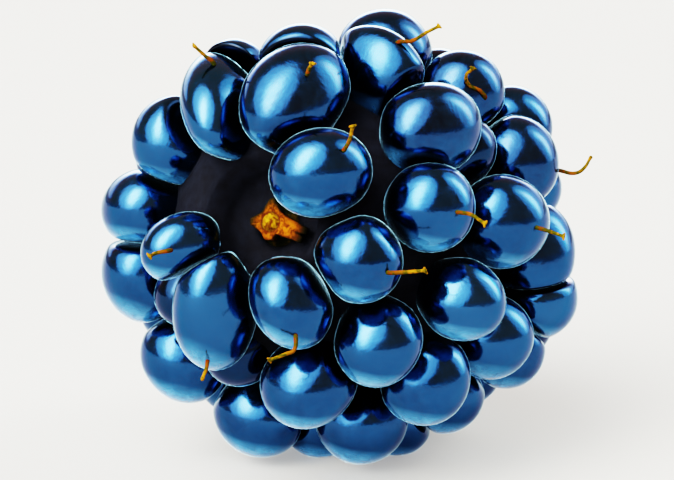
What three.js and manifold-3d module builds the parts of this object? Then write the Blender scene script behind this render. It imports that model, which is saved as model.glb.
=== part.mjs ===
// A ripe bramble berry, lying on its flank with its stem end facing -Y and a little to the left.
// Millimetres, +Z up. The origin is under the middle of the berry, on the surface that it lies on.
import * as THREE from 'three';
import { mergeVertices } from 'three/addons/utils/BufferGeometryUtils.js';
import Module from 'manifold-3d';

const wasm = await Module();
wasm.setup();

// How the berry lies.
const stemLean = 20; // degrees that the stem end points up
const stemTurn = 28; // degrees that the stem end turns from -Y towards -X
const middle = new THREE.Vector3(-0.295, -0.583, 10.76); // the berry's own centre
const surfaceBlock = [60, 60, 20]; // what is cut away under the surface

// The egg that the drupelets' centres lie on, about the berry's axis.
const eggRadius = 8.75;
const eggStemHalf = 10.2; // from the centre to the stem-end pole
const eggTipHalf = 12.2; // from the centre to the tip

// The drupelets.
const drupeletDepth = 4.2;
const drupeletSides = 11;
const drupeletRings = [30, 60, 90]; // degrees from the crown
const rootDepth = 3.2; // below the drupelet's middle
const rootWidth = 0.7; // share of the drupelet's width

// The drupelets of the far side fill what the near ones leave of the egg.
const fill = {
  places: 1600, // on a golden spiral, tried from the stem end to the tip
  firstTheta: 42,
  spacing: 3.3, // at least, to each neighbour
  pushes: 30, // rounds of pushing apart
  reach: 4.1, // neighbours closer than this push
  push: 0.25, // share of the lack of room, each round
  overlap: 1.03, // a drupelet's width, as a share of the distance to its neighbours
  largest: 4.2,
  smallest: 3.2,
};
const goldenAngle = 137.508;

// A filling drupelet that shows between the near ones is small and sunk.
const nearSide = new THREE.Vector3(0, -1, 0.21).normalize();
const sunken = { facing: 0.12, depth: 1.5, size: 0.86 };

// The berry is a little flat behind its top.
const dent = { theta: 72, azimuth: 338, reach: 6.5, depth: 1.1 };

// The core that the drupelets are rooted in, and the hollow at its stem end.
const coreInset = 1.2; // below the egg of the centres
const hollowFloor = 6.7; // along the axis from the berry's centre
const hollowRadius = 2.4;
const hollowDepth = 1.6; // of its straight part
const hollowVault = 0.8; // of the narrowing part above that
const coreSides = 14;
const coreRings = 6;

// The styles, the dry hairs left on the drupelets.
const styleRadius = 0.15;
const styleRoot = 0.6; // sunk into the drupelet
const styleSteps = 3;
const stylePace = 3; // on the far side, one drupelet in so many keeps its style
const styleClearance = 6; // a drupelet whose centre is lower than this has lost its style
const styleFacing = -0.2; // the far styles stand on drupelets that face further away than this
const unevenSeed = 0.37; // of the far styles' leaning
const farStyle = { rootTilt: 20, sway: 1.1, length: 1.1 }; // degrees, then millimetres

// The receptacle: a cone in a socket of the core, ending in a ragged star in the hollow.
const gap = 0.3;
const receptacleMiddle = [0.38, -0.63]; // millimetres right of the berry's axis, and up from it
const coneRadius = 1.5;
const coneTipRadius = 0.7;
const coneTip = -7.5;
const coneShoulder = 1.2; // under the star, where the cone narrows to its neck
const coneNeck = 0.2; // the neck reaches this far into the star
const coneSides = 20;
const starBase = hollowFloor + gap;
const starThickness = 0.5;
const starWaist = 0.62; // radius of the hollows between the arms
const forkTurn = 40; // arms nearer than this, in degrees, are a fork of one arm
const forkDip = 0.86; // share of the fork's reach that its dip has
const buttonRadius = 0.45;
const buttonHeight = 0.25;
// direction in degrees clockwise from the top, reach, and width at the end
const starArms = [
  { direction: 97, reach: 1.74, width: 0.28 },
  { direction: 112, reach: 1.68, width: 0.28 },
  { direction: 176, reach: 0.85, width: 0.42 },
  { direction: 267, reach: 1.1, width: 0.25 },
  { direction: 351, reach: 1.1, width: 0.22 },
];

// The whorls of the near side, from the stem end. theta is the place on the egg, 0 at the stem-end
// pole and 180 at the tip, and a whorl would hold count drupelets all round. A drupelet's azimuth
// runs clockwise from the top, seen from the stem end. Each drupelet is [turn, slide, wider, longer,
// raised]: degrees round the axis, degrees towards the tip, two factors, and millimetres outwards.
const whorls = [
  {
    theta: 31, count: 8, first: 14, width: 4.2, length: 4.4,
    drupelets: {
      0: [-1.5, 3.3, 1.08, 1.32, 0], 1: [7, -6, 0.92, 1.01, 0], 2: [6, 8, 0.9, 0.86, 0],
      3: [-1.5, 2.5, 0.8, 0.96, 0], 4: [-2, 3, 0.84, 1.36, 0], 5: [-11, -7, 0.7, 0.8, 0],
      7: [-2, 6, 0.76, 1.55, -0.1],
    },
  },
  {
    theta: 60, count: 13, first: 22, width: 4, length: 4,
    drupelets: {
      0: [3, 0, 1.28, 0.72, -0.1], 1: [4, 0.7, 1.03, 1.23, 0], 2: [5, -5, 0.98, 0.98, 0],
      3: [3, 13, 0.93, 0.93, 0], 4: [0, -2, 1.02, 0.95, 0], 5: [3, 1, 1.12, 0.95, -0.1],
      6: [8.5, 29, 1.15, 1, 0.5], 7: [3.7, 16, 1.12, 1.18, 0.4], 8: [1.5, 3, 1.1, 1.24, 0.3],
      9: [-5, -4, 0.95, 1.3, 0], 10: [-3.5, -12, 1.05, 1, -0.3], 11: [7, -13, 0.86, 0.95, -0.2],
      12: [9, -13, 1, 1.05, 0],
    },
  },
  {
    theta: 90, count: 14, first: 9, width: 4, length: 4,
    drupelets: {
      0: [-2.5, -2, 1.14, 1.12, 0.1], 1: [-1, 2, 1.05, 1, 0], 2: [-3, 11, 1.1, 1.05, 0],
      3: [-5, -6, 1.08, 1.12, -0.1], 4: [4.5, 10, 1, 1, -0.3], 5: [-2, -7, 1.1, 0.9, 0],
      6: [1, 3, 1.12, 1, 0], 7: [-4, 12, 1, 1, 0],
    },
  },
  {
    theta: 114, count: 16, first: 40, width: 3.9, length: 4,
    drupelets: {
      0: [2, -4, 1.05, 1, 0.55], 1: [-4.5, 8, 0.92, 1, -0.3], 2: [0.4, -2, 1.33, 1.05, -0.2],
      3: [-8, 2, 1.05, 1.1, 0.3], 4: [-11, 0, 1.05, 1, 0], 5: [-7, -1, 1.05, 1, -0.3],
      6: [-10, -2.5, 1, 1, 0], 7: [0, 0, 1, 1, 0],
    },
  },
  {
    theta: 136, count: 11, first: 8, width: 3.9, length: 3.9,
    drupelets: {
      4: [2.5, -6, 0.95, 0.95, -0.5], 5: [0, 0, 1, 1, 0.3],
    },
  },
];

// The styles of the near side: the whorl and drupelet that each stands on, its root in degrees round
// and along from the drupelet's crown, and the points it passes, in millimetres from its root: round
// the axis, towards the tip, and outwards.
const nearStyles = [
  { on: '0.7', root: [34, 2], through: [[-0.1, 0, 0.6], [-0.2, 0, 1.2]] },
  { on: '0.0', root: [29, -3], through: [[0.1, 0.1, 0.3], [0.3, 0.1, 0.6]] },
  { on: '1.0', root: [15, -10], through: [[0.5, 0.3, 0.3], [0.8, 0.8, 0.8], [1.1, 1.1, 1.2]] },
  {
    on: '2.1', root: [67, -33],
    through: [[-0.2, -0.3, 0.1], [-0.7, -0.8, 0], [-0.9, -1.2, 0.3], [-0.8, -1.3, 0.7]],
  },
  { on: '0.1', root: [-5, 27], through: [[-0.3, 0.3, 0.3], [-0.7, 0.5, 0.7]] },
  { on: '2.2', root: [33, 15], through: [[0.4, 0.3, 0.7], [0.3, 0.3, 1.2], [0, 0.3, 1.6]] },
  { on: '1.2', root: [14, 1], through: [[0.1, 0.4, 0.4], [0.5, 0.8, 0.9]] },
  { on: '2.3', root: [15, -13], through: [[0.2, 0.3, 0.6], [0.4, 0.5, 1.1]] },
  { on: '0.2', root: [-6, 26], through: [[-0.3, 0.5, 0.3], [-0.8, 1.2, 0.7]] },
  { on: '0.5', root: [-28, -32], through: [[0.1, 0.2, 0.6], [0, 0.2, 1]] },
  { on: '0.4', root: [-26, 30], through: [[-0.2, 0.2, 0.4], [-0.3, 0.4, 0.8]] },
  { on: '0.3', root: [-3, 23], through: [[0.3, 0.4, 0.4], [0.5, 0.3, 0.6], [1.2, 0.1, 0.9]] },
];

const radians = THREE.MathUtils.degToRad;

// A fixed run of numbers between -1 and 1 that never bunches.
function uneven(number) {
  return 2 * ((unevenSeed + number * 0.618034) % 1) - 1;
}

function solid(geometry) {
  geometry.deleteAttribute('normal');
  geometry.deleteAttribute('uv');
  const merged = mergeVertices(geometry, 1e-5);
  return new wasm.Manifold(new wasm.Mesh({
    numProp: 3,
    vertProperties: new Float32Array(merged.attributes.position.array),
    triVerts: new Uint32Array(merged.index.array),
  }));
}

function joined(solids) {
  let all = solids;
  while (all.length > 1) {
    const pairs = [];
    for (let i = 0; i < all.length; i += 2) {
      pairs.push(i + 1 < all.length ? all[i].add(all[i + 1]) : all[i]);
    }
    all = pairs;
  }
  return all[0];
}

// The largest closed surface of a solid: loose scraps and sealed pockets are left out.
function outerBody(whole) {
  const bodies = whole.decompose();
  return bodies.reduce((a, b) => (b.volume() > a.volume() ? b : a));
}

function bodyMesh(name, whole, look) {
  const data = whole.getMesh();
  const geometry = new THREE.BufferGeometry();
  geometry.setAttribute('position', new THREE.BufferAttribute(data.vertProperties, 3));
  geometry.setIndex(new THREE.BufferAttribute(data.triVerts, 1));
  geometry.computeVertexNormals();
  const mesh = new THREE.Mesh(geometry, new THREE.MeshStandardMaterial(look));
  mesh.name = name;
  return mesh;
}

// The semi-axes of the half of the egg that holds a point.
function eggHalf(point) {
  return new THREE.Vector3(eggRadius, eggRadius, point.z > 0 ? eggStemHalf : eggTipHalf);
}

function onEgg(theta, azimuth) {
  const [slide, turn] = [radians(theta), radians(azimuth)];
  const point = new THREE.Vector3(
    Math.sin(slide) * Math.sin(turn), Math.sin(slide) * Math.cos(turn), Math.cos(slide),
  );
  return point.multiply(eggHalf(point));
}

function backOntoEgg(point) {
  return point.divideScalar(point.clone().divide(eggHalf(point)).length());
}

// The directions round the axis, towards the tip, and outwards, at a point of the egg.
function directions(point) {
  const half = eggHalf(point);
  const outward = point.clone().divide(half).divide(half).normalize();
  const around = new THREE.Vector3(point.y, -point.x, 0).normalize();
  return { around, along: new THREE.Vector3().crossVectors(outward, around), outward };
}

// How far the egg's surface at a point faces the near side, from -1 to 1.
function facingNear(point, lying) {
  return directions(point).outward.transformDirection(lying).dot(nearSide);
}

function drupeletAt(name, point, raised, width, length) {
  const { around, along, outward } = directions(point);
  const centre = point.clone().addScaledVector(outward, raised);
  const frame = new THREE.Matrix4().makeBasis(around, along, outward).setPosition(centre);
  return { name, point, centre, frame, size: new THREE.Vector3(width, length, drupeletDepth) };
}

function nearDrupelets() {
  return whorls.flatMap((whorl, row) => Object.keys(whorl.drupelets).map((key) => {
    const [turn, slide, wider, longer, raised] = whorl.drupelets[key];
    const azimuth = whorl.first + (360 * key) / whorl.count + turn;
    const point = onEgg(whorl.theta + slide, azimuth);
    return drupeletAt(`${row}.${key}`, point, raised, whorl.width * wider, whorl.length * longer);
  }));
}

function farDrupelets(near, lying) {
  const fixed = near.map((drupelet) => drupelet.centre);
  let free = [];
  for (let place = 0; place < fill.places; place += 1) {
    const theta = THREE.MathUtils.radToDeg(Math.acos(1 - (2 * place + 1) / fill.places));
    const point = onEgg(theta, place * goldenAngle);
    const isFree = [...fixed, ...free].every((other) => other.distanceTo(point) >= fill.spacing);
    if (theta >= fill.firstTheta && isFree) free.push(point);
  }
  for (let round = 0; round < fill.pushes; round += 1) {
    const all = [...fixed, ...free];
    free = free.map((point) => {
      const moved = point.clone();
      all.filter((other) => other !== point).forEach((other) => {
        const push = Math.max(0, fill.reach - point.distanceTo(other)) * fill.push;
        moved.addScaledVector(point.clone().sub(other).normalize(), push);
      });
      return backOntoEgg(moved);
    });
  }
  const dentMiddle = onEgg(dent.theta, dent.azimuth);
  return free.map((point, index) => {
    const others = [...fixed, ...free].filter((other) => other !== point);
    const nearest = others.map((other) => other.distanceTo(point)).sort((a, b) => a - b);
    const spacing = (fill.overlap * (nearest[0] + nearest[1] + nearest[2] + nearest[3])) / 4;
    let size = THREE.MathUtils.clamp(spacing, fill.smallest, fill.largest);
    let depth = dent.depth * Math.exp(-((point.distanceTo(dentMiddle) / dent.reach) ** 2));
    if (facingNear(point, lying) > sunken.facing) {
      size *= sunken.size;
      depth += sunken.depth;
    }
    return drupeletAt(`far.${index}`, point, -depth, size, size);
  });
}

// A round crown on a root that narrows into the core.
function ball(drupelet) {
  const foot = -rootDepth / drupeletDepth;
  const profile = [new THREE.Vector2(0, foot), new THREE.Vector2(rootWidth / 2, foot)];
  [...drupeletRings].reverse().forEach((ring) => {
    profile.push(new THREE.Vector2(0.5 * Math.sin(radians(ring)), 0.5 * Math.cos(radians(ring))));
  });
  profile.push(new THREE.Vector2(0, 0.5));
  const geometry = new THREE.LatheGeometry(profile, drupeletSides).rotateX(Math.PI / 2);
  geometry.scale(...drupelet.size.toArray());
  return solid(geometry.applyMatrix4(drupelet.frame));
}

// A thin bent rod, from inside the drupelet out through its skin.
function styleRod(drupelet, root, through) {
  const [round, along] = root.map(radians);
  const direction = new THREE.Vector3(
    Math.sin(round) * Math.cos(along), Math.sin(along), Math.cos(round) * Math.cos(along),
  );
  const start = direction.clone().multiply(drupelet.size).multiplyScalar(0.5);
  const points = [start.clone().addScaledVector(direction, -styleRoot), start];
  through.forEach((step) => points.push(start.clone().add(new THREE.Vector3(...step))));
  const outline = new THREE.Shape();
  outline.moveTo(styleRadius, 0);
  outline.lineTo(0, styleRadius);
  outline.lineTo(-styleRadius, 0);
  outline.lineTo(0, -styleRadius);
  outline.closePath();
  const geometry = new THREE.ExtrudeGeometry(outline, {
    steps: styleSteps + 1, bevelEnabled: false, extrudePath: new THREE.CatmullRomCurve3(points),
  });
  return solid(geometry.applyMatrix4(drupelet.frame));
}

function nearStyleRods(near) {
  return nearStyles.map(({ on, root, through }) => (
    styleRod(near.find((drupelet) => drupelet.name === on), root, through)
  ));
}

function farStyleRods(far, lying) {
  const away = far.filter((drupelet) => facingNear(drupelet.point, lying) < styleFacing);
  const keeps = away.filter((drupelet, n) => (
    n % stylePace === 0 && drupelet.centre.clone().applyMatrix4(lying).z > styleClearance
  ));
  return keeps.map((drupelet, n) => {
    const [a, b] = [uneven(n), uneven(2 * n + 1)];
    const { rootTilt, sway, length } = farStyle;
    const tip = [sway * a, sway * b, length];
    const knee = [tip[0] / 2, tip[1] / 2, length / 2];
    return styleRod(drupelet, [rootTilt * b, rootTilt * a], [knee, tip]);
  });
}

function core() {
  const first = Math.acos(hollowFloor / (eggStemHalf - coreInset));
  const profile = [new THREE.Vector2(0, hollowFloor)];
  for (let ring = 0; ring < coreRings; ring += 1) {
    const angle = first + ((Math.PI - first) * ring) / coreRings;
    const half = (angle < Math.PI / 2 ? eggStemHalf : eggTipHalf) - coreInset;
    profile.push(new THREE.Vector2((eggRadius - coreInset) * Math.sin(angle), half * Math.cos(angle)));
  }
  profile.push(new THREE.Vector2(0, coreInset - eggTipHalf));
  return solid(new THREE.LatheGeometry(profile.reverse(), coreSides).rotateX(Math.PI / 2));
}

// The receptacle's cone, or its socket when it is grown by the gap.
function cone(grown) {
  const profile = [
    new THREE.Vector2(0, coneTip - grown),
    new THREE.Vector2(coneTipRadius + grown, coneTip - grown),
    new THREE.Vector2(coneRadius + grown, starBase - coneShoulder),
    new THREE.Vector2(starWaist + grown, starBase + coneNeck),
    new THREE.Vector2(0, starBase + coneNeck),
  ];
  return solid(new THREE.LatheGeometry(profile, coneSides).rotateX(Math.PI / 2));
}

// The space round the star, which the drupelets' roots leave free.
function hollow() {
  const profile = [
    new THREE.Vector2(0, hollowFloor),
    new THREE.Vector2(hollowRadius, hollowFloor),
    new THREE.Vector2(hollowRadius, hollowFloor + hollowDepth),
    new THREE.Vector2(hollowRadius / 2, hollowFloor + hollowDepth + hollowVault),
    new THREE.Vector2(0, hollowFloor + hollowDepth + hollowVault),
  ];
  return solid(new THREE.LatheGeometry(profile, coneSides).rotateX(Math.PI / 2));
}

function star() {
  const outline = new THREE.Shape();
  const at = (degrees, reach) => [reach * Math.sin(radians(degrees)), reach * Math.cos(radians(degrees))];
  starArms.forEach((arm, n) => {
    const next = starArms[(n + 1) % starArms.length];
    const half = THREE.MathUtils.radToDeg(arm.width / 2 / arm.reach);
    const nextHalf = THREE.MathUtils.radToDeg(next.width / 2 / next.reach);
    const turn = (next.direction - arm.direction + 360) % 360;
    const dip = turn < forkTurn ? forkDip * Math.min(arm.reach, next.reach) : starWaist;
    if (n === 0) outline.moveTo(...at(arm.direction - half, arm.reach));
    outline.lineTo(...at(arm.direction + half, arm.reach));
    outline.quadraticCurveTo(
      ...at(arm.direction + turn / 2, dip), ...at(next.direction - nextHalf, next.reach),
    );
  });
  const plate = new THREE.ExtrudeGeometry(outline, {
    depth: starThickness, bevelEnabled: false, curveSegments: 4,
  });
  plate.translate(0, 0, starBase);
  const top = starBase + starThickness;
  const button = new THREE.SphereGeometry(buttonRadius, 14, 8).rotateX(Math.PI / 2);
  button.scale(1, 1, buttonHeight / buttonRadius).translate(0, 0, top);
  return solid(plate).add(solid(button));
}

const berry = new THREE.Group();
berry.rotation.set(radians(90 - stemLean), 0, radians(-stemTurn), 'ZXY');
berry.position.copy(middle);
berry.updateMatrix();

// The lowest drupelets are flat where they lie on the surface.
const below = new THREE.BoxGeometry(...surfaceBlock).translate(0, 0, -surfaceBlock[2] / 2);
const surface = solid(below.applyMatrix4(berry.matrix.clone().invert()));

const near = nearDrupelets();
const far = farDrupelets(near, berry.matrix);
const balls = [...near, ...far].map(ball);
const head = joined([core(), ...balls, ...nearStyleRods(near), ...farStyleRods(far, berry.matrix)]);
const offAxis = (body) => body.translate(...receptacleMiddle, 0);
const flesh = outerBody(head).subtract(offAxis(cone(gap).add(hollow()))).subtract(surface);
berry.add(bodyMesh('drupelets', outerBody(flesh), { color: 0x0b1c3c, roughness: 0.15, metalness: 0.3 }));
const pith = offAxis(cone(0).add(star()));
berry.add(bodyMesh('receptacle', pith, { color: 0xe88a1c, roughness: 0.7, metalness: 0 }));

export default berry;
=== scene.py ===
import math
import bpy
import numpy as np
from mathutils import Matrix, Vector, noise


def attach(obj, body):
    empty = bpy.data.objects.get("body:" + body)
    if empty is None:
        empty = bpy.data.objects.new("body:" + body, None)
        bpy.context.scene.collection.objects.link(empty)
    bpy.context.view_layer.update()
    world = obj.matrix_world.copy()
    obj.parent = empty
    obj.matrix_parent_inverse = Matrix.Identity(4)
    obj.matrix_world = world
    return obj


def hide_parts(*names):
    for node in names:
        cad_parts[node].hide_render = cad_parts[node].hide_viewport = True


# A ripe bramble berry, lying on its flank with its stem end towards the camera.
# The rule that places the drupelets works in millimetres in the berry's own frame,
# with +Z along its axis to the stem end and +Y up, and lying brings that into the scene.

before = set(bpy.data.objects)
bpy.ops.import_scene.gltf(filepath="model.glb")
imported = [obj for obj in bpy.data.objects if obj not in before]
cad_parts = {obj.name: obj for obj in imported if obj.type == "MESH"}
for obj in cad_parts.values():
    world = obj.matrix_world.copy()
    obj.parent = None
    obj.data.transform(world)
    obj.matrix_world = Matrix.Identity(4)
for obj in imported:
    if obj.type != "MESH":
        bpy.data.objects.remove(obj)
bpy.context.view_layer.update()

goldenAngle = 137.508  # degrees
goldenShare = 0.618034

berry = {
    "stemLean": 20,  # degrees that the stem end points up
    "stemTurn": 28,  # degrees that it turns to the left
    "middle": (-0.295, -0.583, 10.76),  # mm, the berry's own centre
    "eggRadius": 8.75,  # mm, of the egg that the drupelets' centres lie on
    "eggStemHalf": 10.2,
    "eggTipHalf": 12.2,
    "hollowFloor": 6.7,  # mm along the axis
    "hollowRadius": 2.4,
    "hollowDepth": 1.6,
    "receptacleMiddle": (0.38, -0.63),  # mm right of the axis and up from it
    "gap": 0.3,  # mm between the core and the receptacle
}

# The drupelets that fill what the near ones leave of the egg.
filling = {
    "places": 1600,  # on a golden spiral, tried from the stem end to the tip
    "firstTheta": 42,  # degrees from the stem end
    "spacing": 3.3,  # mm, at least, to each neighbour
    "pushes": 30,  # rounds of pushing apart
    "reach": 4.1,  # mm; neighbours closer than this push
    "push": 0.25,  # share of the lack of room, each round
    "touching": 4,  # how many neighbours set the width
    "overlap": 1.03,  # the width, as a share of the distance to those
    "smallest": 3.2,  # mm, of the width
    "largest": 4.2,
    "nearSide": (0, -1, 0.21),  # what shows between the near ones is small and sunk
    "sunkenFacing": 0.12,  # cosine past which it is sunk
    "sunkenDepth": 1.5,  # mm
    "sunkenSize": 0.86,
    "dentTheta": 72,  # degrees; the berry is a little flat behind its top
    "dentAzimuth": 338,
    "dentReach": 6.5,  # mm
    "dentDepth": 1.1,
}

# Each whorl: theta, how many would stand all round, first azimuth, width, length, and its
# drupelets as turn, slide, wider, longer, raised (degrees, degrees, factors, mm).
whorls = [
    (31, 8, 14, 4.2, 4.4, {
        0: (-1.5, 3.3, 1.08, 1.32, 0), 1: (7, -6, 0.92, 1.01, 0), 2: (6, 8, 0.9, 0.86, 0),
        3: (-1.5, 2.5, 0.8, 0.96, 0), 4: (-2, 3, 0.84, 1.36, 0), 5: (-11, -7, 0.7, 0.8, 0),
        7: (-2, 6, 0.76, 1.55, -0.1)}),
    (60, 13, 22, 4, 4, {
        0: (3, 0, 1.28, 0.72, -0.1), 1: (4, 0.7, 1.03, 1.23, 0), 2: (5, -5, 0.98, 0.98, 0),
        3: (3, 13, 0.93, 0.93, 0), 4: (0, -2, 1.02, 0.95, 0), 5: (3, 1, 1.12, 0.95, -0.1),
        6: (8.5, 29, 1.15, 1, 0.5), 7: (3.7, 16, 1.12, 1.18, 0.4), 8: (1.5, 3, 1.1, 1.24, 0.3),
        9: (-5, -4, 0.95, 1.3, 0), 10: (-3.5, -12, 1.05, 1, -0.3), 11: (7, -13, 0.86, 0.95, -0.2),
        12: (9, -13, 1, 1.05, 0)}),
    (90, 14, 9, 4, 4, {
        0: (-2.5, -2, 1.14, 1.12, 0.1), 1: (-1, 2, 1.05, 1, 0), 2: (-3, 11, 1.1, 1.05, 0),
        3: (-5, -6, 1.08, 1.12, -0.1), 4: (4.5, 10, 1, 1, -0.3), 5: (-2, -7, 1.1, 0.9, 0),
        6: (1, 3, 1.12, 1, 0), 7: (-4, 12, 1, 1, 0)}),
    (114, 16, 40, 3.9, 4, {
        0: (2, -4, 1.05, 1, 0.55), 1: (-4.5, 8, 0.92, 1, -0.3), 2: (0.4, -2, 1.33, 1.05, -0.2),
        3: (-8, 2, 1.05, 1.1, 0.3), 4: (-11, 0, 1.05, 1, 0), 5: (-7, -1, 1.05, 1, -0.3),
        6: (-10, -2.5, 1, 1, 0), 7: (0, 0, 1, 1, 0)}),
    (136, 11, 8, 3.9, 3.9, {
        4: (2.5, -6, 0.95, 0.95, -0.5), 5: (0, 0, 1, 1, 0.3)}),
]

lying = (
    Matrix.Diagonal((0.001, 0.001, 0.001, 1))  # mm to metres
    @ Matrix.Translation(berry["middle"])
    @ Matrix.Rotation(-math.radians(berry["stemTurn"]), 4, "Z")
    @ Matrix.Rotation(math.radians(90 - berry["stemLean"]), 4, "X")
)


def eggHalf(point):
    half = berry["eggStemHalf"] if point.z > 0 else berry["eggTipHalf"]
    return Vector((berry["eggRadius"], berry["eggRadius"], half))


def onEgg(theta, azimuth):
    slide, turn = math.radians(theta), math.radians(azimuth)
    across = math.sin(slide)
    point = Vector((across * math.sin(turn), across * math.cos(turn), math.cos(slide)))
    return point * eggHalf(point)


def directions(point):
    half = eggHalf(point)
    outward = Vector(p / h / h for p, h in zip(point, half)).normalized()
    around = Vector((point.y, -point.x, 0)).normalized()
    return around, outward.cross(around), outward


def facingNear(point):
    outward = (lying.to_3x3() @ directions(point)[2]).normalized()
    return outward.dot(Vector(filling["nearSide"]).normalized())


def drupeletAt(name, point, raised, width, length):
    around, along, outward = directions(point)
    return {
        "name": name,
        "point": point,
        "centre": point + outward * raised,
        "axes": Matrix((around, along, outward)).transposed(),
        "width": width,
        "length": length,
    }


def nearDrupelets():
    found = []
    for row, (theta, count, first, width, length, members) in enumerate(whorls):
        for key, (turn, slide, wider, longer, raised) in members.items():
            point = onEgg(theta + slide, first + 360 * key / count + turn)
            found.append(drupeletAt(f"{row}.{key}", point, raised, width * wider, length * longer))
    return found


def freePlaces(fixed):
    free = []
    for place in range(filling["places"]):
        theta = math.degrees(math.acos(1 - (2 * place + 1) / filling["places"]))
        point = onEgg(theta, place * goldenAngle)
        if theta >= filling["firstTheta"]:
            if all((other - point).length >= filling["spacing"] for other in fixed + free):
                free.append(point)
    for _ in range(filling["pushes"]):
        crowd = fixed + free
        moved = []
        for point in free:
            new = point.copy()
            for other in crowd:
                if other is not point:
                    push = max(0, filling["reach"] - (point - other).length) * filling["push"]
                    new += (point - other).normalized() * push
            moved.append(new / Vector(n / h for n, h in zip(new, eggHalf(new))).length)
        free = moved
    return free


def farDrupelets(near):
    fixed = [drupelet["centre"] for drupelet in near]
    free = freePlaces(fixed)
    touching = filling["touching"]
    dentMiddle = onEgg(filling["dentTheta"], filling["dentAzimuth"])
    found = []
    for index, point in enumerate(free):
        nearest = sorted((other - point).length for other in fixed + free if other is not point)
        size = filling["overlap"] * sum(nearest[:touching]) / touching
        size = min(max(size, filling["smallest"]), filling["largest"])
        away = (point - dentMiddle).length / filling["dentReach"]
        depth = filling["dentDepth"] * math.exp(-away * away)
        if facingNear(point) > filling["sunkenFacing"]:
            size *= filling["sunkenSize"]
            depth += filling["sunkenDepth"]
        found.append(drupeletAt(f"far.{index}", point, -depth, size, size))
    return found


def clearSelection():
    if bpy.context.object and bpy.context.object.mode != "OBJECT":
        bpy.ops.object.mode_set(mode="OBJECT")
    bpy.ops.object.select_all(action="DESELECT")


def choose(obj):
    clearSelection()
    obj.select_set(True)
    bpy.context.view_layer.objects.active = obj


def coordinates(mesh):
    flat = np.empty(len(mesh.vertices) * 3)
    mesh.vertices.foreach_get("co", flat)
    return flat.reshape(-1, 3)


def setCoordinates(mesh, points):
    mesh.vertices.foreach_set("co", np.ascontiguousarray(points, dtype=np.float64).ravel())
    mesh.update()


def pointAttribute(mesh, name, values):
    attribute = mesh.attributes.new(name, "FLOAT", "POINT")
    attribute.data.foreach_set("value", np.asarray(values, dtype=np.float32))


def joined(objects, name):
    clearSelection()
    for obj in objects:
        obj.select_set(True)
    bpy.context.view_layer.objects.active = objects[0]
    bpy.ops.object.join()
    whole = bpy.context.object
    whole.name = name
    whole.data.name = name
    return whole


def smooth(obj):
    choose(obj)
    bpy.ops.object.shade_smooth()


# For the pieces that are spun from a profile, in the profile's own mm.
turning = {
    "seed": 0.1,  # the plane that is shrunk to the profile's first point
    "weld": 0.0005,  # points closer than this become one
}


def drawnProfile(name, points):
    # An open outline in the XZ plane, drawn point by point.
    clearSelection()
    bpy.ops.mesh.primitive_plane_add(size=turning["seed"], location=(0, 0, 0))
    outline = bpy.context.object
    outline.name = name
    bpy.ops.object.mode_set(mode="EDIT")
    bpy.ops.mesh.select_all(action="SELECT")
    bpy.ops.mesh.merge(type="CENTER")
    bpy.ops.transform.translate(value=(points[0][0], 0, points[0][1]))
    for before, after in zip(points, points[1:]):
        step = (after[0] - before[0], 0, after[1] - before[1])
        bpy.ops.mesh.extrude_region_move(TRANSFORM_OT_translate={"value": step})
    bpy.ops.object.mode_set(mode="OBJECT")
    return outline


def spun(outline, steps):
    choose(outline)
    bpy.ops.object.mode_set(mode="EDIT")
    bpy.ops.mesh.select_all(action="SELECT")
    bpy.ops.mesh.spin(steps=steps, angle=2 * math.pi, center=(0, 0, 0), axis=(0, 0, 1))
    bpy.ops.mesh.select_all(action="SELECT")
    bpy.ops.mesh.remove_doubles(threshold=turning["weld"])
    bpy.ops.mesh.normals_make_consistent(inside=False)
    bpy.ops.object.mode_set(mode="OBJECT")
    return outline


def intoPlace(obj):
    obj.data.transform(lying)
    obj.data.update()


def newMaterial(name):
    material = bpy.data.materials.new(name)
    material.use_nodes = True
    material.node_tree.nodes.clear()
    return material, material.node_tree


def addNode(tree, kind, inputs=None, **settings):
    made = tree.nodes.new(kind)
    for key, value in settings.items():
        setattr(made, key, value)
    for key, value in (inputs or {}).items():
        made.inputs[key].default_value = value
    return made


def setOrLink(tree, socket, value):
    if isinstance(value, bpy.types.NodeSocket):
        tree.links.new(value, socket)
    elif isinstance(value, tuple):
        socket.default_value = (*value, 1)
    else:
        socket.default_value = value


def ramp(tree, source, positions, colours):
    made = tree.nodes.new("ShaderNodeValToRGB")
    elements = made.color_ramp.elements
    while len(elements) < len(positions):
        elements.new(1)
    for element, position, colour in zip(elements, positions, colours):
        element.position = position
        element.color = (*colour, 1)
    tree.links.new(source, made.inputs["Fac"])
    return made.outputs["Color"]


def greyRamp(tree, source, positions, levels):
    return ramp(tree, source, positions, [(level,) * 3 for level in levels])


def mapped(tree, source, fromLow, fromHigh, toLow=0, toHigh=1):
    made = addNode(tree, "ShaderNodeMapRange", {
        "From Min": fromLow, "From Max": fromHigh, "To Min": toLow, "To Max": toHigh})
    tree.links.new(source, made.inputs["Value"])
    return made.outputs["Result"]


def mixed(tree, factor, first, second, blend="MIX"):
    # A Mix node takes colours on sockets 6 and 7, and gives their mix on output 2.
    made = addNode(tree, "ShaderNodeMix", data_type="RGBA", blend_type=blend)
    for socket, value in ((made.inputs[0], factor), (made.inputs[6], first), (made.inputs[7], second)):
        setOrLink(tree, socket, value)
    return made.outputs[2]


def worked(tree, operation, *values):
    made = addNode(tree, "ShaderNodeMath", operation=operation)
    for socket, value in zip(made.inputs, values):
        setOrLink(tree, socket, value)
    return made.outputs[0]


def objectPoint(tree):
    return tree.nodes.new("ShaderNodeTexCoord").outputs["Object"]


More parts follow.
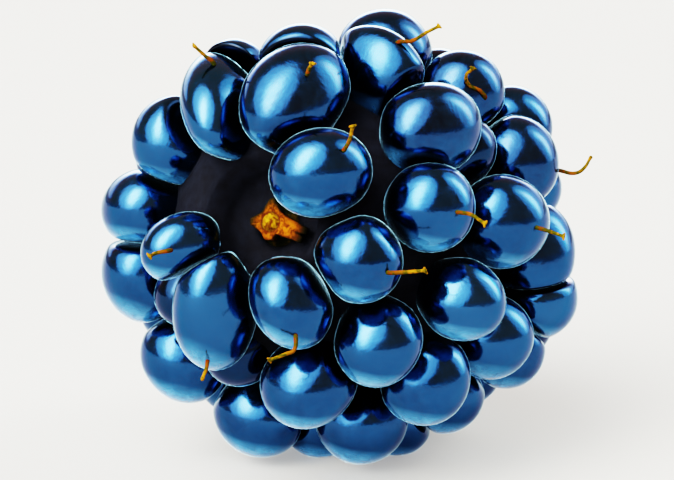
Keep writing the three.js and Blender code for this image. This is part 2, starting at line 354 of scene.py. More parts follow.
def noiseOn(tree, point, scale, detail, roughness=0.5, distortion=0):
    made = addNode(tree, "ShaderNodeTexNoise", {
        "Scale": scale, "Detail": detail, "Roughness": roughness, "Distortion": distortion})
    tree.links.new(point, made.inputs["Vector"])
    return made.outputs["Fac"]


def attributeOf(tree, name):
    return addNode(tree, "ShaderNodeAttribute", attribute_name=name).outputs["Fac"]


def bumped(tree, height, strength, distance, normal=None):
    made = addNode(tree, "ShaderNodeBump", {"Strength": strength, "Distance": distance})
    tree.links.new(height, made.inputs["Height"])
    if normal:
        tree.links.new(normal, made.inputs["Normal"])
    return made.outputs["Normal"]


def finished(tree, shader):
    out = tree.nodes.new("ShaderNodeOutputMaterial")
    tree.links.new(shader, out.inputs["Surface"])


def mattMaterial(tree, form, colour, grain):
    # A dry surface with no gloss, for the parts that aren't skin.
    shader = addNode(tree, "ShaderNodeBsdfPrincipled", {
        "Roughness": form["roughness"], "Specular IOR Level": form["specular"]})
    tree.links.new(colour, shader.inputs["Base Color"])
    tree.links.new(bumped(tree, grain, *form["bump"]), shader.inputs["Normal"])
    finished(tree, shader.outputs["BSDF"])


# In the finishes, a noise is its scale per metre, detail, roughness and distortion; a bump is its
# strength and its height in metres; and a range is what is read, low and high, then what it gives.
skin = {
    "blue": (0.0055, 0.036, 0.112),  # the tint of what the skin reflects
    "deepBlue": (0.005, 0.020, 0.066),
    "paleBlue": (0.011, 0.056, 0.155),
    "tones": (0.15, 0.5, 0.9),  # where deep, plain and pale blue stand
    "toneShare": 0.5,  # of a drupelet's own tone, beside the mottle
    "mottle": (420, 4, 0.6, 0.4),
    "mottleShare": 0.8,
    "mottleBase": -0.15,
    "mottleBump": (0.25, 0.0002),
    "bloom": (1400, 5, 0.65, 0.8),
    "streaks": (0.35, 0.7, 0, 0.5),
    "pores": (9000, 2),
    "poreBump": (0.12, 0.00003),
    # painted shade: near black on the pressed sides between drupelets, where the gaps lie in shade
    "creaseShadeBlue": (0.0003, 0.002, 0.006),
    "creaseShadeRange": (0.05, 0.75, 0, 1),
    "underBounceBlue": (0.060, 0.260, 0.580),  # painted bounce light: the floor's light, painted as a paler blue on a drupelet's underside
    "underside": (-0.2, 0, -0.98),
    "underLight": (0.42, 0.80, 0, 1),
    "limbPatches": (0.3, 0.6, 0.5, 1),
    "limbOffCreases": (0.02, 0.4, 1, 0),
    "limbMetallic": 0.2,
    "metallic": 1.0,
    "edgeTint": (0.10, 0.46, 0.66),
    "roughness": (0.3, 0.7, 0.09, 0.22),  # smoothest to roughest
    "sheen": 1.0,
    "sheenRoughness": 0.16,
    "sheenTint": (0.36, 0.72, 1.0),
    "coat": 1.0,
    "coatRoughness": 0.06,
    "coatIor": 1.15,
}


def paintedUnderLight(tree, bloom, crease_shade):
    # Painted bounce light: how much a point faces down and left, off the creases, in patches.
    under = addNode(tree, "ShaderNodeVectorMath", operation="DOT_PRODUCT")
    under.inputs[1].default_value = skin["underside"]
    tree.links.new(tree.nodes.new("ShaderNodeNewGeometry").outputs["Normal"], under.inputs[0])
    underLight = mapped(tree, under.outputs["Value"], *skin["underLight"])
    underLight = worked(tree, "MULTIPLY", underLight, mapped(tree, bloom, *skin["limbPatches"]))
    return worked(tree, "MULTIPLY", underLight, mapped(tree, crease_shade, *skin["limbOffCreases"]))


def skinMaterial():
    material, tree = newMaterial("bramble_skin")
    point = objectPoint(tree)
    mottle = noiseOn(tree, point, *skin["mottle"])
    bloom = noiseOn(tree, point, *skin["bloom"])
    pores = noiseOn(tree, point, *skin["pores"])
    crease_shade = attributeOf(tree, "crease_shade")
    underLight = paintedUnderLight(tree, bloom, crease_shade)
    patch = worked(tree, "MULTIPLY_ADD", mottle, skin["mottleShare"], skin["mottleBase"])
    toned = worked(tree, "MULTIPLY_ADD", attributeOf(tree, "tone"), skin["toneShare"], patch)
    blues = (skin["deepBlue"], skin["blue"], skin["paleBlue"])
    colour = ramp(tree, toned, skin["tones"], blues)
    colour = mixed(tree, mapped(tree, bloom, *skin["streaks"]), colour, skin["paleBlue"])
    # painted shade: the skin darkens to near black in the creases between pressed drupelets
    colour = mixed(tree, mapped(tree, crease_shade, *skin["creaseShadeRange"]), colour, skin["creaseShadeBlue"])
    # painted light: the underside is paled and made less metallic, standing in for light bounced up from
    # the floor
    colour = mixed(tree, underLight, colour, skin["underBounceBlue"])
    metallic = mapped(tree, underLight, 0, 1, skin["metallic"], skin["limbMetallic"])
    rough = mapped(tree, bloom, *skin["roughness"])
    uneven = bumped(tree, mottle, *skin["mottleBump"])
    shader = addNode(tree, "ShaderNodeBsdfPrincipled", {
        "Specular Tint": (*skin["edgeTint"], 1),
        "Coat Weight": skin["coat"], "Coat Roughness": skin["coatRoughness"],
        "Coat IOR": skin["coatIor"], "Sheen Weight": skin["sheen"],
        "Sheen Roughness": skin["sheenRoughness"], "Sheen Tint": (*skin["sheenTint"], 1)})
    tree.links.new(colour, shader.inputs["Base Color"])
    tree.links.new(metallic, shader.inputs["Metallic"])
    tree.links.new(rough, shader.inputs["Roughness"])
    tree.links.new(bumped(tree, pores, *skin["poreBump"], uneven), shader.inputs["Normal"])
    finished(tree, shader.outputs["BSDF"])
    return material


flesh = {
    "black": (0.0020, 0.0020, 0.0031),
    "blue": (0.0036, 0.0042, 0.0072),
    "tones": (0.3, 0.75),  # where black and blue stand
    "grain": (1800, 4, 0.6),
    "bump": (0.4, 0.0001),
    "roughness": 0.8,
    "specular": 0.02,
}


def fleshMaterial():
    material, tree = newMaterial("dark_flesh")
    grain = noiseOn(tree, objectPoint(tree), *flesh["grain"])
    colour = ramp(tree, grain, flesh["tones"], (flesh["black"], flesh["blue"]))
    mattMaterial(tree, flesh, colour, grain)
    return material


hair = {
    "root": (0.055, 0.008, 0.0012),
    "middle": (0.090, 0.024, 0.002),
    "yellow": (0.160, 0.064, 0.003),
    "along": (0.05, 0.4, 0.75),  # where root, middle and yellow stand, as shares of the length
    "green": (0.010, 0.017, 0.001),
    "greenPatches": (0.42, 0.56, 0, 0.9),
    "grain": (4600, 3, 0.6),
    "bump": (0.5, 0.00005),
    "roughness": 0.7,
    "specular": 0.0,
}


def hairMaterial():
    material, tree = newMaterial("dry_gold_hair")
    grain = noiseOn(tree, objectPoint(tree), *hair["grain"])
    golds = (hair["root"], hair["middle"], hair["yellow"])
    colour = ramp(tree, attributeOf(tree, "along"), hair["along"], golds)
    colour = mixed(tree, mapped(tree, grain, *hair["greenPatches"]), colour, hair["green"])
    mattMaterial(tree, hair, colour, grain)
    return material


pith = {
    "yellow": (0.20, 0.086, 0.003),
    "orange": (0.20, 0.042, 0.002),
    "redOrange": (0.030, 0.005, 0.001),
    "brown": (0.007, 0.005, 0.0006),
    # near black: the arms' real dark green edges, and also painted shade under the star
    "green": (0.005, 0.006, 0.002),
    # from the middle of the star outwards
    "bands": {0.0: "yellow", 0.22: "yellow", 0.28: "green", 0.34: "orange", 0.75: "orange",
              1.0: "redOrange"},
    "fibre": (3400, 4, 0.65, 1.2),
    "fibrePatches": (0.40, 0.58, 0, 0.95),
    "speck": (3000, 2),
    "rimPatches": (0.3, 0.55, 0.8, 1),
    "bump": (0.6, 0.0001),
    "roughness": 0.7,
    "specular": 0.0,
}


def pithMaterial():
    material, tree = newMaterial("orange_pith")
    point = objectPoint(tree)
    fibre = noiseOn(tree, point, *pith["fibre"])
    speck = noiseOn(tree, point, *pith["speck"])
    bands = pith["bands"]
    colour = ramp(tree, attributeOf(tree, "outward"), list(bands), [pith[name] for name in bands.values()])
    colour = mixed(tree, mapped(tree, fibre, *pith["fibrePatches"]), colour, pith["redOrange"])
    colour = mixed(tree, attributeOf(tree, "darker_side"), colour, pith["brown"])
    # the arms' dark green edges, and painted shade on everything under the star's top
    edge = worked(tree, "MULTIPLY", attributeOf(tree, "rim"), mapped(tree, speck, *pith["rimPatches"]))
    colour = mixed(tree, edge, colour, pith["green"])
    mattMaterial(tree, pith, colour, fibre)
    return material


bead = {
    "cuts": 13,
    "radius": 0.5,  # of the ball that each is made from, one unit across
    "depth": 4.2,  # mm, outwards
    "rootStretch": 0.30,  # share of the depth that the root is drawn down
    "rootStretchPower": 2.5,
    "rootNarrow": 0.62,  # share of the width that is left at the root
    "rootNarrowPower": 2,
    "unevenness": 0.1,  # mm
    "unevenPace": 0.34,  # per mm
    "unevenStep": 7.3,  # between one drupelet's place in the noise and the next
    "neighbours": 6.5,  # mm, whose drupelets press on one another
    "clearance": 0.03,  # mm left between two that press
    "softness": 0.34,  # mm over which the pressed side bends
    "creaseShadeSpan": 2.2,  # times the softness, to the darkest of the painted crease shade
    "floorSoftness": 0.12,  # mm
    "hollowSoftness": 0.5,  # mm more that the innermost points are pushed out
    "hollowEase": 0.8,  # mm over which the hollow's hold fades out at its top
    "hollowFoot": 4,  # mm along the axis, where its hold begins
    "hollowInmost": 0.05,  # mm; points nearer the middle are pushed as if they were this far
}

# How dark the skin is: the listed drupelets are set darkest or palest, and the small far ones among the
# near whorls get painted shade, as they sit sunk in the gaps.
skinDarkness = {
    "ends": {**dict.fromkeys(("1.1", "2.0", "2.1", "2.2", "3.4", "4.4"), 0.0),
             **dict.fromkeys(("0.4", "0.5", "0.7", "1.10", "1.11", "1.3", "3.3"), 1.0)},
    "least": 0.3,  # of the others
    "spread": 0.4,
    "shadeFrom": -0.45,
    "shadeOver": 0.6,
    "shadeMost": 0.5,
}


def drupeletMaster():
    # A ball one unit across, whose lower half is drawn down and in, to a root.
    clearSelection()
    bpy.ops.mesh.primitive_cube_add(size=1, location=(0, 0, 0))
    master = bpy.context.object
    master.name = "drupelet_master"
    bpy.ops.object.mode_set(mode="EDIT")
    bpy.ops.mesh.select_all(action="SELECT")
    bpy.ops.mesh.subdivide(number_cuts=bead["cuts"])
    bpy.ops.object.mode_set(mode="OBJECT")
    cast = master.modifiers.new("round", "CAST")
    cast.cast_type = "SPHERE"
    cast.factor = 1
    cast.use_radius_as_size = False
    cast.size = bead["radius"]
    bpy.ops.object.modifier_apply(modifier=cast.name)
    points = coordinates(master.data)
    points *= bead["radius"] / np.linalg.norm(points, axis=1, keepdims=True)
    down = np.clip(-points[:, 2] / bead["radius"], 0, 1)
    points[:, 2] -= bead["rootStretch"] * down ** bead["rootStretchPower"]
    points[:, :2] *= (1 - (1 - bead["rootNarrow"]) * down ** bead["rootNarrowPower"])[:, None]
    setCoordinates(master.data, points)
    return master


def isFar(drupelet):
    return drupelet["name"].startswith("far")


def meanRadius(drupelet):
    return (drupelet["width"] + drupelet["length"]) / 4


def pressed(points, drupelet, others):
    # Keeps the points on their own side of the plane between them and each neighbour, and gives a painted
    # crease shade: darker skin where a drupelet is pressed against one.
    centre = np.array(drupelet["centre"])
    own = meanRadius(drupelet)
    soft = bead["softness"]
    crease_shade = np.zeros(len(points))
    for other in others:
        apart = np.array(other["centre"] - drupelet["centre"])
        distance = np.linalg.norm(apart)
        if distance >= bead["neighbours"]:
            continue
        apart /= distance
        limit = (distance ** 2 + own ** 2 - meanRadius(other) ** 2) / (2 * distance) - bead["clearance"]
        reach = (points - centre) @ apart
        over = reach - (limit - soft)
        bent = np.where(over > 0, soft * (1 - np.exp(-np.maximum(over, 0) / soft)), over)
        points += (bent - over)[:, None] * apart
        crease_shade = np.maximum(crease_shade, np.clip(over / (bead["creaseShadeSpan"] * soft), 0, 1))
    return crease_shade


def roomForStar(points):
    # The sides that reach into the hollow are held back to its wall, in the berry's own frame.
    offAxis = np.array(berry["receptacleMiddle"])
    radius = np.linalg.norm(points[:, :2] - offAxis, axis=1)
    top = berry["hollowFloor"] + berry["hollowDepth"] + bead["hollowEase"]
    height = points[:, 2]
    inside = np.clip((top - height) / bead["hollowEase"], 0, 1) * np.clip(height - bead["hollowFoot"], 0, 1)
    near = np.exp(-(radius / berry["hollowRadius"]) ** 2)
    want = berry["hollowRadius"] + bead["hollowSoftness"] * near
    grow = np.where(radius < want, want / np.maximum(radius, bead["hollowInmost"]), 1)
    points[:, :2] = offAxis + (points[:, :2] - offAxis) * (1 + (grow - 1) * inside)[:, None]


def drupeletShape(shape, drupelet, number, everyone):
    # The master's points, brought to this drupelet's place and form, and how much painted crease shade each
    # gets.
    centre = np.array(drupelet["centre"])
    size = np.array((drupelet["width"], drupelet["length"], bead["depth"]))
    points = (shape * size) @ np.array(drupelet["axes"]).T + centre
    ownNoise = Vector((bead["unevenStep"] * number, 0, 0))
    wander = np.array([noise.noise(Vector(p) * bead["unevenPace"] + ownNoise) for p in points])
    outward = points - centre
    outward /= np.linalg.norm(outward, axis=1, keepdims=True)
    points += outward * (wander * bead["unevenness"])[:, None]
    crease_shade = pressed(points, drupelet, [other for other in everyone if other is not drupelet])
    # painted shade: far drupelets sunk among the near ones get dark skin through the crease shade mask
    if isFar(drupelet):
        among = (facingNear(drupelet["point"]) - skinDarkness["shadeFrom"]) / skinDarkness["shadeOver"]
        crease_shade = np.maximum(crease_shade, min(max(among, 0), skinDarkness["shadeMost"]))
    roomForStar(points)
    points = points @ np.array(lying.to_3x3()).T + np.array(lying.translation)
    soft = bead["floorSoftness"] / 1000
    low = points[:, 2] < soft
    points[low, 2] = soft * np.exp((points[low, 2] - soft) / soft)
    return points, crease_shade


def drupeletPieces(near, far):
    master = drupeletMaster()
    shape = coordinates(master.data)
    everyone = near + far
    groups = {"near": [], "far": []}
    for number, drupelet in enumerate(everyone):
        points, crease_shade = drupeletShape(shape, drupelet, number, everyone)
        copy = master.copy()
        copy.data = master.data.copy()
        bpy.context.scene.collection.objects.link(copy)
        setCoordinates(copy.data, points)
        others = skinDarkness["least"] + skinDarkness["spread"] * ((number * goldenShare) % 1)
        tone = skinDarkness["ends"].get(drupelet["name"], others)
        pointAttribute(copy.data, "tone", np.full(len(points), tone))
        pointAttribute(copy.data, "crease_shade", crease_shade)
        groups["far" if isFar(drupelet) else "near"].append(copy)
    bpy.data.objects.remove(master)
    return [joined(members, f"drupelets_{side}") for side, members in groups.items()]


# The receptacle: a cone that ends in a ragged star round a button.
starForm = {
    "coneRadius": 1.5,  # mm, as all that follows, where no more is said
    "coneTipRadius": 0.7,
    "coneTip": -7.5,  # along the axis
    "coneShoulder": 1.2,  # under the star
    "shoulderRound": 0.2,
    "neck": (0.62, 0.1),  # radius, and mm below the star
    "thickness": 0.5,
    "waist": 0.66,  # radius of the dips between the arms
    "forkTurn": 40,  # degrees; arms nearer than this are a fork of one arm
    "forkDip": 0.86,  # share of the shorter of the two
    "buttonRadius": 0.37,
    "buttonHeight": 0.25,
    "buttonRings": (0.35, 0.6, 0.8, 0.93, 1.0),  # shares of its radius
    "groove": ((0.06, -0.03), (0.14, 0.02)),  # mm outside the button, and up from the star's top
    # shares of an arm's reach, with mm up from the star's top, and below them from its base
    "upperRings": ((0.75, 0.05), (0.83, 0.05), (0.9, 0.02), (0.96, -0.03), (1.0, -0.12)),
    "lowerRings": ((1.0, 0.25), (0.97, 0.1), (0.9, 0.03), (0.7, 0)),
    "steps": 240,
    # direction clockwise from the top, reach, width at the end
    "arms": [(97, 1.74, 0.28), (112, 1.68, 0.28), (176, 0.85, 0.42), (267, 1.1, 0.25), (351, 1.1, 0.22)],
    "armsFrom": 0.1,  # mm outside the button
    "fibre": 0.05,  # mm high
    "fibreTurn": 6,  # degrees
    "fibrePace": 1.5,  # per mm
    "droop": 0.12,  # for each mm that an arm reaches further than droopFrom
    "droopFrom": 0.7,
    "rimPower": 3,
    "undersideShadeDepth": 0.15,  # mm under the top, below which all is rim, painted dark as shade under the star
    "span": 1.6,  # mm, to the outermost colour
    "darkerToward": 310,  # the side toward which the arms darken to brown
    "darkerSpread": 1.6,
}


def starCorners():
    # The outline's corners as azimuth and reach: each arm's blunt end, and the dip after it.
    corners = []
    arms = starForm["arms"]
    for (direction, length, width), (following, reach, _) in zip(arms, arms[1:] + arms[:1]):
        half = math.degrees(width / 2 / length)
        turn = (following - direction) % 360
        forked = turn < starForm["forkTurn"]
        dip = starForm["forkDip"] * min(length, reach) if forked else starForm["waist"]
        corners += [(direction - half, length), (direction + half, length), (direction + turn / 2, dip)]
    return corners


def starReach(azimuth, corners):
    for (first, near), (last, far) in zip(corners, corners[1:] + corners[:1]):
        span = (last - first) % 360
        off = (azimuth - first) % 360
        if off <= span:
            before, after = math.radians(off), math.radians(span - off)
            reach = near * math.sin(before) + far * math.sin(after)
            return near * far * math.sin(before + after) / reach
    return starForm["waist"]


def receptacleProfile(base, top):
    button, height = starForm["buttonRadius"], starForm["buttonHeight"]
    shoulder, bevel = base - starForm["coneShoulder"], starForm["shoulderRound"]
    neck, neckDepth = starForm["neck"]
    points = [(0, top + height)]
    for share in starForm["buttonRings"]:
        points.append((button * share, top + height * math.sqrt(1 - share ** 2)))
    points += [(button + outside, top + up) for outside, up in starForm["groove"]]
    points += [(share, top + up) for share, up in starForm["upperRings"]]
    points += [(share, base + up) for share, up in starForm["lowerRings"]]
    return points + [
        (neck, base - neckDepth),
        (starForm["coneRadius"] - bevel, shoulder + bevel),
        (starForm["coneRadius"], shoulder),
        (starForm["coneTipRadius"], starForm["coneTip"]),
        (0, starForm["coneTip"]),
    ]


def receptacle():
    base = berry["hollowFloor"] + berry["gap"]
    top = base + starForm["thickness"]
    star = spun(drawnProfile("receptacle_pith", receptacleProfile(base, top)), starForm["steps"])
    place = coordinates(star.data)
    radius = np.linalg.norm(place[:, :2], axis=1)
    azimuth = np.degrees(np.arctan2(place[:, 0], place[:, 1]))
    corners = starCorners()
    inner = starForm["buttonRadius"] + starForm["armsFrom"]
    outward, rim, darker_side = np.zeros((3, len(place)))
    for index in np.nonzero(place[:, 2] > base - starForm["neck"][1] / 2)[0]:
        long = radius[index]
        if long > inner:
            reach = starReach(azimuth[index], corners)
            spread = (long - inner) / (1 - inner)
            long = inner + spread * (reach - inner)
            place[index, :2] *= long / radius[index]
            grain = (azimuth[index] / starForm["fibreTurn"], long * starForm["fibrePace"], 0)
            droop = starForm["droop"] * spread ** 2 * (reach - starForm["droopFrom"])
            place[index, 2] += starForm["fibre"] * noise.noise(Vector(grain)) - droop
            rim[index] = spread ** starForm["rimPower"]
            toward = math.cos(math.radians(azimuth[index] - starForm["darkerToward"]))
            darker_side[index] = math.sqrt(max(toward, 0)) * min(starForm["darkerSpread"] * spread, 1)
        outward[index] = long / starForm["span"]
    # Painted shade: everything under the star's top takes the dark green of the arms' edges.
    rim[place[:, 2] < top - starForm["undersideShadeDepth"]] = 1
    place[:, :2] += np.array(berry["receptacleMiddle"])
    setCoordinates(star.data, place)
    pointAttribute(star.data, "outward", outward)
    pointAttribute(star.data, "rim", rim)
    pointAttribute(star.data, "darker_side", darker_side)
    smooth(star)
    intoPlace(star)
    return star


coreForm = {
    "inset": 1.2,  # mm below the egg of the drupelets' centres
    "steps": 72,
    "rings": 22,
    "lip": 0.4,  # mm that the hollow opens out to at its rim
    "socketRound": 0.3,
    "floorDepth": 0.1,  # mm below the floor, where the socket starts to open out
    "floorRound": 0.3,
    "floorRise": 0.05,
    "wallFoot": 0.4,
    "shiftFrom": 1.0,  # mm outside the rim, where the hollow's shift off the axis has faded out
    "shiftFade": 0.8,
    "lump": 0.12,  # mm
    "lumpPace": 0.9,  # per mm
    "lumpsFrom": 1.9,  # mm off the axis
}


def coreProfile(rim):
    radius = berry["eggRadius"] - coreForm["inset"]
    stemHalf = berry["eggStemHalf"] - coreForm["inset"]
    tipHalf = berry["eggTipHalf"] - coreForm["inset"]
    floor, gap, hollow = berry["hollowFloor"], berry["gap"], berry["hollowRadius"]
    socket = starForm["waist"] + gap
    points = [
        (0, starForm["coneTip"] - gap),
        (starForm["coneTipRadius"] + gap, starForm["coneTip"] - gap),
        (starForm["coneRadius"] + gap, floor + gap - starForm["coneShoulder"]),
        (socket, floor - coreForm["floorDepth"]),
        (socket + coreForm["socketRound"], floor),
        (hollow - coreForm["floorRound"], floor + coreForm["floorRise"]),
        (hollow, floor + coreForm["wallFoot"]),
    ]
    first = math.asin(rim / radius)
    for ring in range(coreForm["rings"] + 1):
        angle = first + (math.pi - first) * ring / coreForm["rings"]
        half = stemHalf if angle < math.pi / 2 else tipHalf
        points.append((max(radius * math.sin(angle), 0), half * math.cos(angle)))
    return points


def coreBody():
    rim = berry["hollowRadius"] + coreForm["lip"]
    core = spun(drawnProfile("core", coreProfile(rim)), coreForm["steps"])
    place = coordinates(core.data)
    off = np.linalg.norm(place[:, :2], axis=1)
    inner = np.clip((rim + coreForm["shiftFrom"] - off) / coreForm["shiftFade"], 0, 1)
    place[:, :2] += inner[:, None] * np.array(berry["receptacleMiddle"])
    lumps = np.array([noise.noise(Vector(p) * coreForm["lumpPace"]) for p in place])
    away = np.clip(np.linalg.norm(place[:, :2], axis=1) - coreForm["lumpsFrom"], 0, 1)
    outward = place / np.linalg.norm(place, axis=1, keepdims=True)
    place += outward * (lumps * away * coreForm["lump"])[:, None]
    setCoordinates(core.data, place)
    smooth(core)
    intoPlace(core)
    return core


styleForm = {
    "radius": 0.083,  # mm
    "barb": 0.16,  # mm either side of the tip
    "widths": (1.35, 1.2, 0.85, 1.1),  # in the drupelet, at its skin, before the tip and at the tip
    "barbWidths": (0.5, 1.1, 0.4),
    "sunk": 0.6,  # mm of root inside the drupelet
    "straight": 0.1,  # sine of a bend too slight to set the barb across
    "sides": 3,  # bevel resolution
    "smoothness": 10,  # steps from one point to the next
    "pace": 3,  # on the far side, one drupelet in so many keeps its style
    "clearance": 6,  # mm; a drupelet whose centre is lower than this has lost its style
    "facing": -0.2,  # cosine under which a drupelet is on the far side
    "seed": 0.37,
    "rootTilt": 20,  # degrees
    "sway": 1.1,  # mm either way
    "length": 1.1,
}

# The drupelet that each stands on, its root in degrees round and along from the crown, and
# the points that it passes, in mm from its root: round the axis, towards the tip, outwards.
nearStyles = [
    ("0.7", (34, 2), [(-0.1, 0, 0.6), (-0.2, 0, 1.2)]),
    ("0.0", (29, -3), [(0.1, 0.1, 0.3), (0.3, 0.1, 0.6)]),
    ("1.0", (15, -10), [(0.5, 0.3, 0.3), (0.8, 0.8, 0.8), (1.1, 1.1, 1.2)]),
    ("2.1", (67, -33), [(-0.2, -0.3, 0.1), (-0.7, -0.8, 0), (-0.9, -1.2, 0.3), (-0.8, -1.3, 0.7)]),
    ("0.1", (-5, 27), [(-0.3, 0.3, 0.3), (-0.7, 0.5, 0.7)]),
    ("2.2", (33, 15), [(0.4, 0.3, 0.7), (0.3, 0.3, 1.2), (0, 0.3, 1.6)]),
    ("1.2", (14, 1), [(0.1, 0.4, 0.4), (0.5, 0.8, 0.9)]),
    ("2.3", (15, -13), [(0.2, 0.3, 0.6), (0.4, 0.5, 1.1)]),
    ("0.2", (-6, 26), [(-0.3, 0.5, 0.3), (-0.8, 1.2, 0.7)]),
    ("0.5", (-28, -32), [(0.1, 0.2, 0.6), (0, 0.2, 1)]),
    ("0.4", (-26, 30), [(-0.2, 0.2, 0.4), (-0.3, 0.4, 0.8)]),
    ("0.3", (-3, 23), [(0.3, 0.4, 0.4), (0.5, 0.3, 0.6), (1.2, 0.1, 0.9)]),
]


def uneven(number):
    return 2 * ((styleForm["seed"] + number * goldenShare) % 1) - 1


def rods(lines):
    # One mesh of round rods, each a line of points with their widths.
    curve = bpy.data.curves.new("style", "CURVE")
    curve.dimensions = "3D"
    curve.bevel_depth = styleForm["radius"]
    curve.bevel_resolution = styleForm["sides"]
    curve.use_fill_caps = True
    curve.resolution_u = styleForm["smoothness"]
    for points, widths in lines:
        line = curve.splines.new("BEZIER")
        line.bezier_points.add(len(points) - 1)
        for knot, point, width in zip(line.bezier_points, points, widths):
            knot.co = point
            knot.radius = width
            knot.handle_left_type = knot.handle_right_type = "AUTO"
    made = bpy.data.objects.new("style", curve)
    bpy.context.scene.collection.objects.link(made)
    choose(made)
    bpy.ops.object.convert(target="MESH")
    return bpy.context.object


def shareAlong(place, points):
    # How far along the hair each place is, from 0 at the skin to 1 at the tip.
    knots = np.array([list(p) for p in points])
    lengths = np.linalg.norm(np.diff(knots, axis=0), axis=1)
    nearest = np.full(len(place), np.inf)
    share = np.zeros(len(place))
    for index, (first, last) in enumerate(zip(knots, knots[1:])):
        t = np.clip((place - first) @ (last - first) / lengths[index] ** 2, 0, 1)
        off = np.linalg.norm(place - first - t[:, None] * (last - first), axis=1)
        reached = (lengths[:index].sum() + t * lengths[index] - lengths[0]) / lengths[1:].sum()
        share = np.where(off < nearest, reached, share)
        nearest = np.minimum(nearest, off)
    return np.clip(share, 0, 1)


def styleHair(drupelet, root, through):
    around, along = (math.radians(v) for v in root)
    direction = Vector((
        math.sin(around) * math.cos(along), math.sin(along), math.cos(around) * math.cos(along)))
    start = direction * Vector((drupelet["width"], drupelet["length"], bead["depth"])) / 2
    points = [start - direction * styleForm["sunk"], start, *(start + Vector(step) for step in through)]
    tip = points[-1]
    ending = (tip - points[-2]).normalized()
    across = ending.cross(direction)
    if across.length <= styleForm["straight"]:
        across = Vector((1, 0, 0))
    aside = across.normalized() * styleForm["barb"]
    points.insert(-1, tip - ending * styleForm["barb"])
    widths = np.interp(range(len(points)), (0, 1, len(points) - 2, len(points) - 1), styleForm["widths"])
    barb = [tip - aside, tip, tip + aside + ending * styleForm["barb"] / 2]
    made = rods([(points, widths), (barb, styleForm["barbWidths"])])
    place = coordinates(made.data)
    pointAttribute(made.data, "along", shareAlong(place, points))
    setCoordinates(made.data, place @ np.array(drupelet["axes"]).T + np.array(drupelet["centre"]))
    return made


def styles(near, far):
    byName = {drupelet["name"]: drupelet for drupelet in near}
    made = [styleHair(byName[on], root, through) for on, root, through in nearStyles]
    away = [drupelet for drupelet in far if facingNear(drupelet["point"]) < styleForm["facing"]]
    height = styleForm["clearance"] / 1000
    keeps = [drupelet for drupelet in away[::styleForm["pace"]] if (lying @ drupelet["centre"]).z > height]
    tilt = styleForm["rootTilt"]
    for number, drupelet in enumerate(keeps):
        a, b = uneven(number), uneven(2 * number + 1)
        tip = Vector((styleForm["sway"] * a, styleForm["sway"] * b, styleForm["length"]))
        made.append(styleHair(drupelet, (tilt * b, tilt * a), [tip / 2, tip]))
    whole = joined(made, "styles")
    smooth(whole)
    intoPlace(whole)
    return whole


near = nearDrupelets()
far = farDrupelets(near)
print("drupelets placed:", len(near), "near and", len(far), "far")

skinFinish = skinMaterial()
for piece in drupeletPieces(near, far):
    smooth(piece)
    piece.data.materials.append(skinFinish)
    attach(piece, "root")
    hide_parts("drupelets")
print("drupelets modelled")

core = coreBody()
core.data.materials.append(fleshMaterial())
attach(core, "root")
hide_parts("drupelets")
print("core modelled")

star = receptacle()
star.data.materials.append(pithMaterial())
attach(star, "root")
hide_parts("receptacle")
print("receptacle modelled")

hairs = styles(near, far)
hairs.data.materials.append(hairMaterial())
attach(hairs, "root")
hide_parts("drupelets")
print("styles modelled")

floorForm = {
    "size": 6,  # metres
    "colour": (0.25, 0.249, 0.247),
    "grain": (60, 3),
    "grainDepth": 0.99,  # share of the colour that its darker grain has
    "grainTones": (0.3, 0.7),
    "glow": 1.12,
    "roughness": 0.9,
    "specular": 0.1,
}


def floorPiece():
    clearSelection()
    bpy.ops.mesh.primitive_plane_add(size=floorForm["size"], location=(0, 0, 0))
    floor = bpy.context.object
    floor.name = "floor"
    material, tree = newMaterial("pale_floor")
    grain = noiseOn(tree, objectPoint(tree), *floorForm["grain"])
    darker = tuple(v * floorForm["grainDepth"] for v in floorForm["colour"])
    colour = ramp(tree, grain, floorForm["grainTones"], (darker, floorForm["colour"]))
    shader = addNode(tree, "ShaderNodeBsdfPrincipled", {
        "Roughness": floorForm["roughness"], "Specular IOR Level": floorForm["specular"],
        "Emission Strength": floorForm["glow"]})
    tree.links.new(colour, shader.inputs["Base Color"])
    tree.links.new(colour, shader.inputs["Emission Color"])
    finished(tree, shader.outputs["BSDF"])
    floor.data.materials.append(material)


# Each panel: azimuth in degrees to the right of the camera, elevation, metres away, size, and
# its brightest glow; it is brightest in its heart, and fades out to an oval edge.
softboxes = {
    "main": (-44, 42, 1.2, (2.3, 2.8), 50.0),
    "side": (108, 30, 1.2, (1.3, 1.8), 30.0),
    "back": (180, 20, 1.2, (3.6, 0.6), 30.0),
}

softboxGlow = {
    "fit": 2,  # scale at which the round fade just fills the panel
    "tint": (0.85, 0.97, 1.0),
    "heartTint": (1.0, 0.95, 0.80),
    "heartNarrowing": 1.9,
    "panel": ((0, 0.15, 0.6), (0.08, 0.11, 0.18)),  # places from the edge in, and their glow
    "heart": ((0.1, 0.4, 0.75), (0, 0.15, 0.85)),
    "heartEdge": (0.1, 0.6),
    "edge": (0, 0.05),
}


def oval(tree, narrowing):
    fit = softboxGlow["fit"]
    mapping = addNode(tree, "ShaderNodeMapping", {"Scale": (fit * narrowing, fit, 1)})
    tree.links.new(objectPoint(tree), mapping.inputs["Vector"])
    fade = addNode(tree, "ShaderNodeTexGradient", gradient_type="SPHERICAL")
    tree.links.new(mapping.outputs["Vector"], fade.inputs["Vector"])
    return fade.outputs["Fac"]


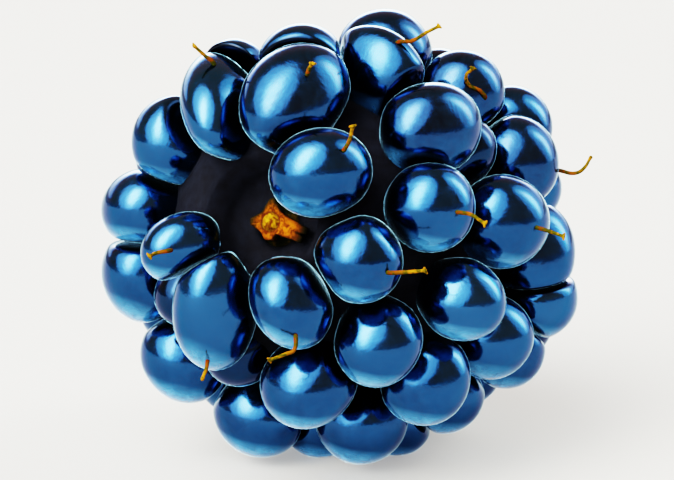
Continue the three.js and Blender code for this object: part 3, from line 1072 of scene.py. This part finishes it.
def softboxMaterial(name, peak):
    material, tree = newMaterial(name + "_light")
    panel = oval(tree, 1)
    heart = oval(tree, softboxGlow["heartNarrowing"])
    heartLevel = greyRamp(tree, heart, *softboxGlow["heart"])
    level = mixed(tree, 1, greyRamp(tree, panel, *softboxGlow["panel"]), heartLevel, "ADD")
    warmth = mapped(tree, heart, *softboxGlow["heartEdge"])
    light = addNode(tree, "ShaderNodeEmission")
    tree.links.new(worked(tree, "MULTIPLY", level, peak), light.inputs["Strength"])
    colour = mixed(tree, warmth, softboxGlow["tint"], softboxGlow["heartTint"])
    tree.links.new(colour, light.inputs["Color"])
    blend = addNode(tree, "ShaderNodeMixShader")
    tree.links.new(mapped(tree, panel, *softboxGlow["edge"]), blend.inputs[0])
    tree.links.new(tree.nodes.new("ShaderNodeBsdfTransparent").outputs[0], blend.inputs[1])
    tree.links.new(light.outputs["Emission"], blend.inputs[2])
    finished(tree, blend.outputs[0])
    return material


def softbox(name, azimuth, elevation, distance, size, peak):
    # A glowing panel that faces the berry, and that the camera doesn't see.
    turn, lift = math.radians(azimuth), math.radians(elevation)
    toward = Vector((math.sin(turn) * math.cos(lift), -math.cos(turn) * math.cos(lift), math.sin(lift)))
    clearSelection()
    bpy.ops.mesh.primitive_plane_add(size=1, location=(0, 0, 0))
    panel = bpy.context.object
    panel.name = name
    panel.scale = (size[0], size[1], 1)
    panel.rotation_mode = "QUATERNION"
    panel.rotation_quaternion = toward.to_track_quat("-Z", "Y")
    panel.location = toward * distance
    panel.visible_camera = False
    panel.data.materials.append(softboxMaterial(name, peak))


room = {
    "horizonColour": softboxGlow["tint"],
    "horizonGlow": 0.6,
    "horizonTop": 0.2,  # sine of the elevation where the pale band has faded out
    "overheadColour": (2.4, 1.15, 0.62),
    "overheadGlow": 0.45,
}


def surroundings():
    world = bpy.data.worlds.new("studio")
    bpy.context.scene.world = world
    world.use_nodes = True
    tree = world.node_tree
    tree.nodes.clear()
    split = tree.nodes.new("ShaderNodeSeparateXYZ")
    tree.links.new(tree.nodes.new("ShaderNodeTexCoord").outputs["Generated"], split.inputs["Vector"])
    height = split.outputs["Z"]
    strength = mapped(tree, height, 0, room["horizonTop"], room["horizonGlow"], room["overheadGlow"])
    above = mapped(tree, height, 0, room["horizonTop"])
    shade = tree.nodes.new("ShaderNodeBackground")
    tree.links.new(strength, shade.inputs["Strength"])
    tree.links.new(mixed(tree, above, room["horizonColour"], room["overheadColour"]), shade.inputs["Color"])
    out = tree.nodes.new("ShaderNodeOutputWorld")
    tree.links.new(shade.outputs["Background"], out.inputs["Surface"])


view = {
    "elevation": 12,  # degrees
    "distance": 0.095,  # metres from the berry's centre
    "lens": 107.1,  # mm
    "right": -0.000142,  # metres that the camera is moved off the centre
    "up": -0.000237,
    "clip": (0.005, 20),
}


def cameraPiece():
    lift = math.radians(view["elevation"])
    back = Vector((0, -math.cos(lift), math.sin(lift)))
    up = Vector((0, math.sin(lift), math.cos(lift)))
    data = bpy.data.cameras.new("camera")
    data.lens = view["lens"]
    data.clip_start, data.clip_end = view["clip"]
    camera = bpy.data.objects.new("camera", data)
    bpy.context.scene.collection.objects.link(camera)
    centre = Vector(berry["middle"]) / 1000
    camera.location = centre + back * view["distance"] + Vector((view["right"], 0, 0)) + up * view["up"]
    camera.rotation_euler = (math.pi / 2 - lift, 0, 0)
    bpy.context.scene.camera = camera


floorPiece()
for side, panel in softboxes.items():
    softbox(side + "_softbox", *panel)
surroundings()
cameraPiece()
bpy.context.scene.view_settings.view_transform = "Filmic"
bpy.context.scene.view_settings.look = "High Contrast"
print("studio set")
